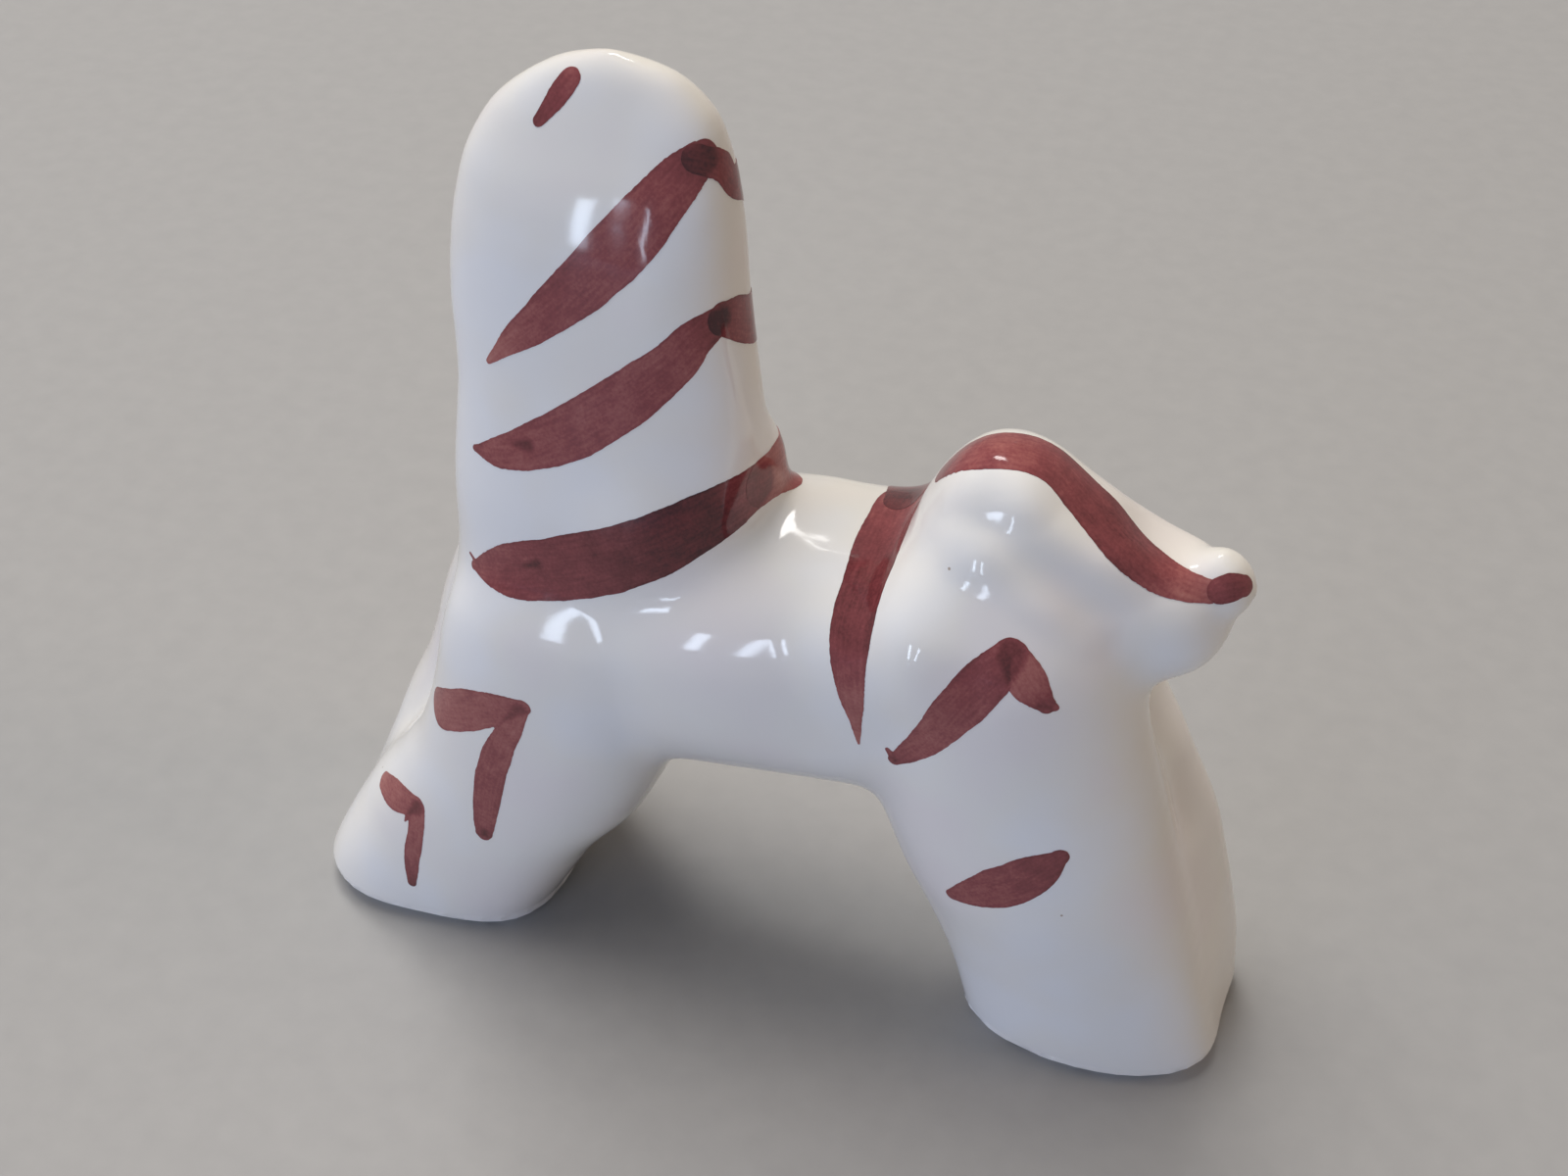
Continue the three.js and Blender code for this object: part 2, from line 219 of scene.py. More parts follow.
def islands(bm):
    """The connected groups of vertices, each as a set."""
    unseen = set(bm.verts)
    found = []
    while unseen:
        group = set()
        edge_of_group = [unseen.pop()]
        while edge_of_group:
            vert = edge_of_group.pop()
            group.add(vert)
            for edge in vert.link_edges:
                other = edge.other_vert(vert)
                if other in unseen:
                    unseen.remove(other)
                    edge_of_group.append(other)
        found.append(group)
    return found


remesh = body.modifiers.new("one skin", "REMESH")
remesh.mode = "VOXEL"
remesh.voxel_size = VOXEL
with_modifiers(body)

skin = bmesh.new()
skin.from_mesh(body.data)
groups = sorted(islands(skin), key=len)
inner = [vert for group in groups[:-1] for vert in group]
bmesh.ops.delete(skin, geom=inner, context="VERTS")
skin.to_mesh(body.data)
print("skin faces:", len(skin.faces), "inner pockets removed:", len(groups) - 1)
skin.free()

# %% [markdown]
# ## Wiping the joins smooth
# A wet sponge rounds the joins and the ridges. The Smooth modifier does the same: each pass moves a
# point towards the middle of its neighbours. The nose is small and would melt away, so a vertex
# group weakens the smoothing towards it. The feet were rolled on a board, so they get more passes.

# %% Smooth the skin
SMOOTH_PASSES = 90
SMOOTH_FACTOR = 0.5
NOSE_KEEP = 0.2
NOSE_REACH = 9 * MM
FOOT_PASSES = 80
FOOT_FADE_TOP = 14 * MM
FOOT_FADE_LENGTH = 8 * MM

nose_low, nose_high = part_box("nose_tip")
nose_middle = (nose_low + nose_high) / 2
softness = body.vertex_groups.new(name="softness")
for vert in body.data.vertices:
    far = min(1, (vert.co - nose_middle).length / NOSE_REACH)
    softness.add([vert.index], NOSE_KEEP + (1 - NOSE_KEEP) * far * far, "REPLACE")
footing = body.vertex_groups.new(name="footing")
for vert in body.data.vertices:
    share = (FOOT_FADE_TOP - vert.co.z) / FOOT_FADE_LENGTH
    footing.add([vert.index], min(1, max(0, share)), "REPLACE")
for group, passes in ((softness, SMOOTH_PASSES), (footing, FOOT_PASSES)):
    wipe = body.modifiers.new("wipe smooth", "SMOOTH")
    wipe.factor = SMOOTH_FACTOR
    wipe.iterations = passes
    wipe.vertex_group = group.name
with_modifiers(body)
print("skin after smoothing:", len(body.data.vertices), "points")

# %% [markdown]
# ## Thumb work
# A maker's thumbs leave swellings and dents that no plain form has. A sculpt brush would do the
# same by hand. Here each push is a line of places, a reach and a move, all in millimetres, and the
# move fades out smoothly towards the edge of the reach. Pushes in the first list are done on both
# sides. A faint unevenness all over, far too low to see as a shape, breaks up the reflections as
# they are broken up on hand-shaped clay.

# %% Push the clay into shape
PAIRED_PUSHES = {
    "side of the trunk": ([(-3.5, -10.5, 39.5), (-3.5, -10.5, 45.5)], 13, (0, -1, 0)),
    "join of the trunk and shoulder": ([(12.5, -10.5, 44)], 9, (0, -1.4, 0.4)),
    "front of the hind leg": ([(-20, -5, 2), (-17, -6, 9)], 9, (-1.4, 0, 0)),
    "cheek": ([(18, -8, 52.5), (26, -8.6, 49.5)], 7, (0, 0.7, 0)),
    "edge under the cheek": (
        [(17, -7.4, 54.6), (20.6, -8.4, 53.8), (28.5, -7.5, 49)], 3, (0, -0.22, 0.2),
    ),
    "side of the shoulder": ([(20.5, -10.5, 48)], 7, (0, 0.7, 0)),
}
SINGLE_PUSHES = {
    "tail leans to the left": ([(-22, 0, 88), (-6, 0, 88)], 35, (-2, 3.4, -1.9)),
    "right side of the tail's tip": ([(-21, -6.5, 84.5), (-7, -6.5, 84.5)], 11, (0, 1.5, 0)),
    "front edge of the tail's tip": ([(-6, 5, 83)], 8, (0.6, 0, 0.3)),
    "front of the tail's right side": ([(-5.5, -3.9, 68), (-5.5, 0, 80)], 7, (0, -0.45, 0)),
    "left haunch swells to the back": ([(-30, 8, 26), (-34, 9, 16)], 11, (-1.6, 0, 0)),
    "heel of the right hind foot": ([(-38, -9, 2)], 9, (-0.4, -1, 0)),
    "left fore leg swells to the front": ([(38, 7, 19), (41, 6, 10)], 11, (1.3, 0, 0)),
    "right edge of the crown": ([(16.5, -2.8, 58.8), (21, -3.2, 59.4)], 5, (0, -0.7, 0.6)),
    "right edge of the muzzle": ([(25, -3.8, 57.6), (29, -4.2, 55.2)], 6, (0, -1, 0.7)),
    "crown of the head": ([(19.5, 1, 59)], 8, (0, 0, 0.7)),
    "bridge of the nose": ([(24, 1, 58), (27, 1, 56.5)], 5, (0.1, 0, 0.5)),
    "underside of the chin": ([(35, 3, 44)], 6, (-0.7, 0, 0.9)),
    "hollow under the chin": ([(35.5, 5, 37)], 9, (-2.2, 0, 0)),
    "dip behind the nose": ([(32.5, 1, 54)], 5, (0, 0, -0.9)),
    "top of the nose": ([(37, 0, 53)], 3.5, (0, 0, 0.5)),
    "back in front of the tail": ([(3, 5, 48)], 9, (0, 0.3, 0.8)),
    "front of the tail's root": ([(-2.5, 3, 51)], 6, (1, 0, 0.7)),
    "back edge of the tail's root": ([(-25, 0, 45), (-25, 0, 56)], 9, (1.1, 0, 0)),
    "back edge of the tail": ([(-24, 2, 68), (-23, 3, 78)], 8, (-0.6, 0, 0)),
}
UNEVEN_LENGTH = 11 * MM
UNEVEN_HEIGHT = 0.04 * MM


def nearest_on_line(line, place):
    """The point nearest to a place on a line through a few places."""
    found = [line[0]]
    for first, last in zip(line, line[1:]):
        point, share = intersect_point_line(place, first, last)
        found.append(first if share < 0 else last if share > 1 else point)
    return min(found, key=lambda point: (point - place).length_squared)


def push(bm, line, reach, move):
    """Moves the points round a line, most in its middle and not at all at the edge of the reach."""
    line = [Vector(place) * MM for place in line]
    reach, move = reach * MM, Vector(move) * MM
    for vert in bm.verts:
        share = 1 - (vert.co - nearest_on_line(line, vert.co)).length_squared / reach**2
        if share > 0:
            vert.co += move * share * share


skin = bmesh.new()
skin.from_mesh(body.data)
for line, reach, move in PAIRED_PUSHES.values():
    push(skin, line, reach, move)
    push(skin, [(x, -y, z) for x, y, z in line], reach, (move[0], -move[1], move[2]))
for line, reach, move in SINGLE_PUSHES.values():
    push(skin, line, reach, move)
skin.normal_update()
for vert in skin.verts:
    vert.co += vert.normal * noise.noise(vert.co / UNEVEN_LENGTH) * UNEVEN_HEIGHT
print("thumb pushes:", 2 * len(PAIRED_PUSHES) + len(SINGLE_PUSHES))

# %% [markdown]
# ## Flat feet
# The feet stand flat, with a rounding where the clay was wiped at the rim. We cut the skin a little
# above the ground with bisect_plane, then extrude the open rim down and inwards in a few steps that
# follow a quarter of a circle, and fill what is left with the sole. Neighbours on the rim may fall
# together on the way down, so the sole has fewer corners than the cut. The points are taken in a
# fixed order, so that every run gives the same feet.

# %% Cut the feet at the ground
FOOT_ROUNDING = 2 * MM
FOOT_STEPS = 6
SOLE_SLOT = 1


def flatten_feet(bm):
    """Cuts the feet, rounds their rims and closes them with soles."""
    bmesh.ops.bisect_plane(
        bm,
        geom=bm.verts[:] + bm.edges[:] + bm.faces[:],
        plane_co=(0, 0, FOOT_ROUNDING),
        plane_no=(0, 0, 1),
        clear_inner=True,
    )
    bm.normal_update()
    rim = [edge for edge in bm.edges if edge.is_boundary]
    ring = {vert for edge in rim for vert in edge.verts}
    outward = {vert: (vert.normal * Vector((1, 1, 0))).normalized() for vert in ring}
    start = {vert: vert.co.copy() for vert in ring}
    for step in range(1, FOOT_STEPS + 1):
        turn = math.radians(90) * step / FOOT_STEPS
        made = bmesh.ops.extrude_edge_only(bm, edges=rim)["geom"]
        rim = [item for item in made if isinstance(item, bmesh.types.BMEdge) and item.is_boundary]
        for vert in dict.fromkeys(vert for edge in rim for vert in edge.verts):
            above = next(e.other_vert(vert) for e in vert.link_edges if e.other_vert(vert) in outward)
            outward[vert] = outward[above]
            start[vert] = start[above]
            vert.co = start[vert] - outward[vert] * FOOT_ROUNDING * (1 - math.cos(turn))
            vert.co.z = FOOT_ROUNDING * (1 - math.sin(turn))
    soles = bmesh.ops.edgeloop_fill(bm, edges=rim)["faces"]
    for face in soles:
        face.material_index = SOLE_SLOT
    return soles


soles = flatten_feet(skin)
print("soles:", len(soles))
bmesh.ops.triangulate(skin, faces=soles)
bmesh.ops.recalc_face_normals(skin, faces=skin.faces)
for face in skin.faces:
    face.smooth = True
skin.normal_update()
skin.to_mesh(body.data)
skin_tree = BVHTree.FromBMesh(skin)
skin_points = KDTree(len(skin.verts))
for vert in skin.verts:
    skin_points.insert(vert.co, vert.index)
skin_points.balance()
print("skin faces:", len(skin.faces))

# %% [markdown]
# ## The brush strokes
# Each stripe was painted in one pull of a soft round brush, or two: the hairs touch down in a point,
# spread as the brush is pressed, and lift off again. So a run of the brush is a short list of
# places on the clay, each with the width of the mark there and the load of colour in it, from 0,
# a thin wash, to 1, a dark pool. A texture could paint the marks on the skin, but then their edges
# would be only as sharp as its pixels. Cut out of the skin as thin pieces, they stay crisp.

# %% The runs of the brush on the right side
RIGHT_STROKES = {
    "tail_dab": [
        [(-16.4, 2, 83.7, 1.7, 0.5), (-17.4, 1.2, 82.3, 1.8, 0.6), (-18.6, 0.4, 80.6, 1.0, 0.6)],
    ],
    "tail_upper": [
        [
            (-22.1, -5.2, 61.5, 0.5, 0.2), (-19.8, -5.2, 64, 2.2, 0.4), (-17.6, -5.1, 66.1, 3.2, 0.5),
            (-13.6, -4.4, 70.2, 4.5, 0.55), (-10.1, -2.7, 74.2, 4.7, 0.5), (-7, -0.2, 78.4, 3.5, 0.55),
            (-5.8, 1.1, 79.5, 2.6, 0.6),
        ],
    ],
    "tail_middle": [
        [
            (-23.5, -6.5, 53.4, 0.8, 0.6), (-20.5, -7.2, 54.2, 3, 0.5), (-15.5, -7.1, 56.8, 4.5, 0.5),
            (-10.9, -6.3, 60.3, 4.6, 0.5), (-6.6, -5.1, 64.2, 3.9, 0.5), (-4.8, -3.9, 66.4, 3.2, 0.55),
            (-3.2, -2, 67.5, 2.4, 0.6),
        ],
        [(-19.6, -7, 55.2, 0.8, 0.6), (-18.3, -7, 55.4, 1.6, 0.6)],
    ],
    "tail_base": [
        [
            (-24.1, -7.8, 41.9, 0.8, 0.5), (-20.3, -9, 43.3, 4.7, 0.55), (-14.1, -9.5, 45.6, 6, 0.65),
            (-8.4, -9.1, 48.3, 5.7, 0.8), (-3.6, -6.6, 50.9, 5.1, 0.9), (-1.2, -4.3, 51.8, 4.6, 0.7),
            (0.4, -1.8, 52, 4, 0.55),
        ],
        [(-18.6, -9.3, 44.4, 0.8, 0.6), (-17.4, -9.4, 45, 1.4, 0.6)],
        [(-24.8, -7.4, 42.6, 0.2, 0.5), (-23.4, -8.1, 42.2, 0.5, 0.5)],
    ],
    "collar": [
        [
            (10, 5, 48.4, 3.6, 0.5), (10.2, 1.5, 49.4, 4.6, 0.55), (10.3, -2.1, 49.2, 5, 0.65),
            (10.3, -6.6, 47.8, 4.5, 0.75), (10.4, -9.2, 44.9, 3.9, 0.7),
            (10.8, -10.8, 41.3, 2.6, 0.45), (11.2, -11.3, 36.6, 0.7, 0.3), (11.4, -11.1, 34, 0.2, 0.2),
        ],
    ],
    "shoulder": [
        [
            (14.4, -11.4, 34.4, 1.1, 0.6), (16.9, -12.2, 37.8, 2.6, 0.45),
            (19.5, -12.6, 42.3, 3.8, 0.5), (21.7, -12.2, 45.9, 3.9, 0.6), (23.2, -11.3, 48, 3, 0.5),
        ],
        [(23.2, -11.2, 48.2, 2.6, 0.45), (24.9, -11.5, 45.8, 3.1, 0.35), (26.4, -11.4, 44.1, 1.5, 0.6)],
        [(13.8, -11.3, 35.4, 0.5, 0.5), (14.5, -11.4, 34.4, 0.8, 0.5)],
        [(25.8, -11.5, 44, 0.7, 0.5), (27.1, -11.3, 43.9, 0.6, 0.5)],
    ],
    "fore_leg": [
        [
            (20, -11.8, 20.6, 1.2, 0.5), (23.1, -12.7, 23, 3.9, 0.5), (25.8, -12.7, 25.3, 4.4, 0.55),
            (27.4, -12.5, 26.9, 3.7, 0.6), (28.8, -12, 28.5, 1.6, 0.65),
        ],
    ],
    "thigh": [
        [(-27.6, -10.3, 26.3, 4, 0.4), (-22.7, -12.2, 29.4, 4, 0.45), (-18.4, -12.7, 31.4, 1.8, 0.45)],
        [
            (-18.6, -12.7, 31, 1.8, 0.4), (-20.9, -12.6, 25.9, 2.7, 0.45), (-22.4, -12.6, 21.2, 2.9, 0.5),
            (-23.2, -12.8, 16.3, 2.3, 0.5), (-23.4, -12.9, 14.6, 1.6, 0.6),
        ],
        [(-23.3, -12.9, 14.8, 1, 0.5), (-23.4, -12.9, 14.2, 1.1, 0.5)],
    ],
    "hock": [
        [(-35.6, -8.8, 13.3, 2, 0.35), (-33.6, -10.5, 13.8, 3.1, 0.4), (-30.7, -11.8, 14.5, 2.2, 0.45)],
        [
            (-30.6, -11.9, 14.4, 2, 0.4), (-30.9, -12.4, 11.4, 1.8, 0.45), (-31.6, -12.7, 7.6, 1.7, 0.5),
            (-31.7, -12.9, 5, 1, 0.7),
        ],
        [(-31.4, -11.7, 13.6, 0.9, 0.5), (-32.1, -11.9, 12.2, 0.3, 0.5)],
    ],
    "brow": [
        [
            (14.4, -0.6, 56.1, 2, 0.6), (16.8, -1.1, 58.9, 4.2, 0.5), (19.1, -0.8, 59.8, 4.8, 0.45),
            (21.5, -0.4, 59.7, 4.9, 0.5), (23.9, -0.4, 58.6, 4.9, 0.6), (26.8, -1.3, 56.5, 5, 0.65),
            (29.6, -2.3, 54.7, 5.2, 0.7), (32.2, -2.9, 53, 4.2, 0.6), (34.7, -2.9, 51.8, 2.7, 0.4),
            (36.6, -2.6, 51.4, 1.9, 0.35),
        ],
    ],
    "nose_spot": [
        [(37.4, -2.3, 51.5, 2.2, 0.6), (38.2, -1.9, 51.7, 2.3, 0.65), (39, -1.3, 51.6, 1.8, 0.6)],
    ],
}
print("strokes on the right side:", len(RIGHT_STROKES))

# %% [markdown]
# The left side mirrors the right one, but no hand paints the same stripe twice. The tail's stripes
# start a little lower there and end over the front edge of the tail, on top of the right side's
# ends, where the double coat is darker. The brow's stripe stays on the left cheek. The dab near the
# tail's tip is on the right side alone.

# %% The runs of the brush on the left side
LEFT_OWN_STROKES = {
    "tail_upper": [
        [
            (-6.3, 0.6, 79.5, 2.2, 0.6), (-4.7, 1.9, 78.4, 2.6, 0.6), (-3.9, 2.8, 76.8, 2.6, 0.6),
            (-4.8, 6, 75.2, 3.6, 0.55), (-9, 9, 72, 4.4, 0.5), (-13, 9, 68.8, 4.4, 0.5),
            (-17.4, 8, 65, 3.2, 0.4), (-22, 6.4, 61.2, 0.5, 0.3),
        ],
    ],
    "tail_middle": [
        [
            (-3.1, -1.9, 67.4, 2.8, 0.7), (-2.5, -0.2, 66.6, 3.6, 0.6), (-2.3, 2, 65.3, 4, 0.6),
            (-3.4, 4.8, 64.2, 4.3, 0.55), (-6.4, 6.6, 62, 4.4, 0.5), (-10.9, 7.2, 59, 4.6, 0.5),
            (-15.6, 7.4, 55.8, 4.4, 0.5), (-20.5, 7.1, 53.6, 3, 0.5), (-23.5, 6.4, 53, 0.8, 0.5),
        ],
    ],
    "tail_base": [
        [
            (0.4, -1.6, 52, 4.2, 0.45), (0.9, 1.2, 51.8, 4.6, 0.35), (0, 3.8, 51, 5.2, 0.4),
            (-3.7, 6.4, 49.6, 5.4, 0.6), (-8.6, 8.6, 47.4, 5.7, 0.7), (-14.2, 9.4, 45, 6, 0.6),
            (-20.3, 9.1, 43, 4.6, 0.5), (-24.2, 7.7, 42, 0.8, 0.5),
        ],
    ],
    "brow": [
        [
            (21.5, 6.4, 53.6, 1.6, 0.5), (24.5, 7, 51.6, 4, 0.55), (28, 6.6, 49.6, 4.8, 0.65),
            (31.4, 5.4, 48.8, 4, 0.6), (34.4, 4, 49, 2.7, 0.4), (36.6, 2.9, 49.4, 1.9, 0.35),
        ],
    ],
    "nose_spot": [
        [(37.2, 2.6, 49.6, 2.2, 0.6), (37.8, 2.2, 49.4, 2.3, 0.65), (38.4, 1.7, 49.3, 1.8, 0.6)],
    ],
    "collar": [
        [
            (10.1, 3.6, 48.9, 3, 0.5), (10.3, 6.6, 47.8, 4.5, 0.7), (10.4, 9.2, 44.9, 3.9, 0.7),
            (10.8, 10.8, 41.3, 2.6, 0.45), (11.2, 11.3, 36.6, 0.7, 0.3), (11.4, 11.1, 34, 0.2, 0.2),
        ],
    ],
}
RIGHT_ONLY = ["tail_dab"]


def mirrored(run):
    """The same run of the brush on the other side of the figure."""
    return [(x, -y, z, width, load) for x, y, z, width, load in run]


left_strokes = {
    name: LEFT_OWN_STROKES.get(name) or [mirrored(run) for run in runs]
    for name, runs in RIGHT_STROKES.items()
    if name not in RIGHT_ONLY
}
print("strokes on the left side:", len(left_strokes))

# %% [markdown]
# A brush moves in a curve, so each list of places becomes a smooth path through them. The path is
# sampled finely, and each sample is set on the nearest point of the skin, so that the path lies on
# the clay however it bulges.

# %% Lay the runs on the skin
PATH_STEPS = 24


def smooth_path(points):
    """Fine samples of a smooth curve that passes through all the points."""
    ends = [points[0], *points, points[-1]]
    samples = []
    for before, here, there, after in zip(ends, ends[1:], ends[2:], ends[3:]):
        start = there - before
        swing = 2 * before - 5 * here + 4 * there - after
        curl = 3 * here - before - 3 * there + after
        for step in range(PATH_STEPS):
            t = step / PATH_STEPS
            bend = swing * t + curl * t * t
            samples.append(here + (start + bend) * t / 2)
    samples.append(points[-1])
    return samples


class Run:
    """One pull of the brush: a path on the skin with a width and a load of colour along it."""

    def __init__(self, places):
        points = []
        for *place, width, load in places:
            points.append(Vector((*(Vector(place) * MM), width * MM, load)))
        samples = smooth_path(points)
        self.places = []
        self.normals = []
        for sample in samples:
            place, normal, _, _ = skin_tree.find_nearest(Vector(sample[:3]))
            self.places.append(place)
            self.normals.append(normal)
        self.halves = [sample[3] / 2 for sample in samples]
        self.loads = [sample[4] for sample in samples]
        self.lengths = [0]
        for last, place in zip(self.places, self.places[1:]):
            self.lengths.append(self.lengths[-1] + (place - last).length)
        self.tree = KDTree(len(self.places))
        for index, place in enumerate(self.places):
            self.tree.insert(place, index)
        self.tree.balance()

    def outside(self, place):
        """How far a place lies outside the mark; inside it the answer is negative."""
        _, index, far = self.tree.find(place)
        return far - self.halves[index]

    def brush(self, place):
        """Where a place lies along and across the pull, and the load of colour there."""
        _, index, _ = self.tree.find(place)
        last = max(0, index - 1)
        ahead = (self.places[min(index + 1, len(self.places) - 1)] - self.places[last]).normalized()
        offset = place - self.places[index]
        across = offset.dot(self.normals[index].cross(ahead))
        return self.lengths[index] + offset.dot(ahead), across, self.loads[index]


paths = {f"right_{name}": [Run(run) for run in runs] for name, runs in RIGHT_STROKES.items()}
paths.update({f"left_{name}": [Run(run) for run in runs] for name, runs in left_strokes.items()})
longest = max(run.lengths[-1] for runs in paths.values() for run in runs)
print("longest pull in mm:", round(longest / MM, 1))

# %% [markdown]
# A stroke is cut out of the skin itself. A patch of skin round the runs is made finer, lifted a
# hair's breadth, and cut where the distance to the mark passes through zero. A little noise in that
# distance gives the edge the small teeth that hairs leave on dry clay. Then the patch gets a
# thickness that reaches into the body, so each stroke is a closed piece.

# %% Cut a patch of skin to a stroke's outline
PATCH_MARGIN = 1.2 * MM
PATCH_CUTS = 2
TOOTH_LENGTH = 0.45 * MM
TOOTH_DEPTH = 0.04 * MM
WAVER_LENGTH = 2.4 * MM
WAVER_DEPTH = 0.13 * MM
SLIVER = 0.004 * MM


def painted(runs, place):
    """How far a place lies outside the whole stroke, with the unevenness of the edge."""
    tooth = noise.noise(place / TOOTH_LENGTH) * TOOTH_DEPTH
    waver = noise.noise(place / WAVER_LENGTH) * WAVER_DEPTH
    return min(run.outside(place) for run in runs) + tooth + waver


def skin_patch(runs):
    """A finer copy of the skin round the runs."""
    near = set()
    for run in runs:
        for place, half in zip(run.places, run.halves):
            near.update(index for _, index, _ in skin_points.find_range(place, half + PATCH_MARGIN))
    patch = skin.copy()
    patch.verts.ensure_lookup_table()
    far = [vert for vert in patch.verts if vert.index not in near]
    bmesh.ops.delete(patch, geom=far, context="VERTS")
    bmesh.ops.subdivide_edges(patch, edges=patch.edges, cuts=PATCH_CUTS, use_grid_fill=True)
    patch.normal_update()
    return patch


def cut_outline(patch, outside):
    """Splits the faces where the distance passes through zero and drops what lies outside."""
    far = {vert: outside(vert.co) for vert in patch.verts}
    crossing = [edge for edge in patch.edges if (far[edge.verts[0]] < 0) != (far[edge.verts[1]] < 0)]
    line = []
    for edge in crossing:
        first, last = edge.verts
        share = far[first] / (far[first] - far[last])
        _, vert = bmesh.utils.edge_split(edge, first, share)
        far[vert] = 0
        line.append(vert)
    bmesh.ops.connect_verts(patch, verts=line)
    dropped = [face for face in patch.faces if max(far[vert] for vert in face.verts) > 0]
    bmesh.ops.delete(patch, geom=dropped, context="FACES")
    bmesh.ops.dissolve_degenerate(patch, dist=SLIVER, edges=patch.edges)


print("patch cuts per edge:", PATCH_CUTS)

# %% [markdown]
# Each point of a stroke notes where it lies along and across its pull, how far inside the edge it
# is, and how much colour lies there. Where pulls cross, the second coat adds to the load. The left
# strokes lie a hair higher than the right ones, and the nose spots higher still, so that strokes
# that cross never share a face.

# %% Note the colour and make each stroke
COAT_EDGE = 0.5 * MM
SECOND_COAT = 0.28
STROKE_DEPTH = 0.15 * MM
RIGHT_LIFT = 0.03 * MM
LEFT_LIFT = 0.05 * MM
SPOT_LIFT = 0.07 * MM
RIM_ANGLE = math.radians(50)


def note_colour(patch, runs, crossing_runs):
    """Writes where each point lies in its pull of the brush, and how much colour lies there."""
    brush_layer = patch.verts.layers.float_vector.new("brush")
    load_layer = patch.verts.layers.float.new("load")
    for vert in patch.verts:
        own = min(runs, key=lambda run: run.outside(vert.co))
        along, across, load = own.brush(vert.co)
        edge = -min(run.outside(vert.co) for run in runs)
        vert[brush_layer] = Vector((along, across, edge)) / MM
        for run in runs + crossing_runs:
            if run is not own:
                load += SECOND_COAT * min(1, max(0, -run.outside(vert.co) / COAT_EDGE))
        vert[load_layer] = load


def stroke_piece(name, runs, crossing_runs, lift):
    """One stroke as a thin closed piece that lies on the body."""
    patch = skin_patch(runs)
    for vert in patch.verts:
        vert.co += vert.normal * lift
    cut_outline(patch, lambda place: painted(runs, place))
    note_colour(patch, runs, crossing_runs)
    bmesh.ops.triangulate(patch, faces=patch.faces)
    bmesh.ops.solidify(patch, geom=patch.faces, thickness=STROKE_DEPTH)
    bmesh.ops.recalc_face_normals(patch, faces=patch.faces)
    for face in patch.faces:
        face.smooth = True
    for edge in patch.edges:
        edge.smooth = edge.calc_face_angle(0) < RIM_ANGLE
    mesh = bpy.data.meshes.new(name)
    patch.to_mesh(mesh)
    patch.free()
    piece = bpy.data.objects.new(name, mesh)
    bpy.context.scene.collection.objects.link(piece)
    return piece


strokes = {}
for name, runs in paths.items():
    side, mark = name.split("_", 1)
    twin = paths.get(f"right_{mark}", []) if side == "left" else []
    lift = SPOT_LIFT if mark == "nose_spot" else LEFT_LIFT if side == "left" else RIGHT_LIFT
    strokes[name] = stroke_piece(name, runs, twin, lift)
stroke_faces = sum(len(piece.data.polygons) for piece in strokes.values())
print("strokes:", len(strokes), "faces:", stroke_faces)

# %% [markdown]
# ## The cream glaze
# The glaze is a thick glossy coat of warm white. It is never one even colour: it is a little
# warmer where it lies thick, carries a few specks of iron, and its face is faintly rippled. Noise
# on Object coordinates gives all of that, and the numbers are sizes in the figure's own metres.

# %% Shader helpers
RIPPLE_STRENGTH = 0.2
RIPPLE_SIZE = 1.6 * MM
RIPPLE_HEIGHT = 0.02 * MM


def node(material, kind, links=None, **settings):
    """Adds a shader node, sets its properties and inputs, and links the inputs that are given."""
    made = material.node_tree.nodes.new(kind)
    for key, value in settings.items():
        if hasattr(made, key):
            setattr(made, key, value)
        else:
            made.inputs[key.replace("_", " ").title()].default_value = value
    for socket, source in (links or {}).items():
        material.node_tree.links.new(source, made.inputs[socket])
    return made


def new_material(name):
    """A material with its Principled shader, and the object coordinates to hang patterns on."""
    material = bpy.data.materials.new(name)
    material.use_nodes = True
    shader = material.node_tree.nodes["Principled BSDF"]
    place = node(material, "ShaderNodeTexCoord").outputs["Object"]
    return material, shader, place


def ramp(material, source, stops):
    """A colour ramp through the given places and colours."""
    made = node(material, "ShaderNodeValToRGB", {"Fac": source})
    while len(made.color_ramp.elements) < len(stops):
        made.color_ramp.elements.new(0.5)
    for element, (position, color) in zip(made.color_ramp.elements, stops):
        element.position = position
        element.color = (*color, 1)
    return made.outputs["Color"]


def patches(material, place, size, detail=2):
    """Soft noise patches of about the given size, from 0 to 1."""
    made = node(material, "ShaderNodeTexNoise", {"Vector": place}, scale=1 / size, detail=detail)
    return made.outputs["Fac"]


def spread(material, value, low, high, full=1):
    """Carries a value that runs from 0 to full over to the range from low to high."""
    made = node(material, "ShaderNodeMapRange", {"Value": value})
    made.inputs["From Max"].default_value = full
    made.inputs["To Min"].default_value = low
    made.inputs["To Max"].default_value = high
    return made.outputs["Result"]


def blended(material, share, pattern, color):
    """A colour pattern with a plain colour laid over it where the share is 1."""
    made = node(material, "ShaderNodeMix", {"Factor": share}, data_type="RGBA")
    under, over = [socket for socket in made.inputs if socket.type == "RGBA"]
    material.node_tree.links.new(pattern, under)
    over.default_value = (*color, 1)
    return next(socket for socket in made.outputs if socket.type == "RGBA")


def math_node(material, operation, first, second):
    """One sum on two values; each is a socket or a plain number."""
    made = material.node_tree.nodes.new("ShaderNodeMath")
    made.operation = operation
    for socket, value in zip(made.inputs, (first, second)):
        if isinstance(value, (int, float)):
            socket.default_value = value
        else:
            material.node_tree.links.new(value, socket)
    return made.outputs["Value"]


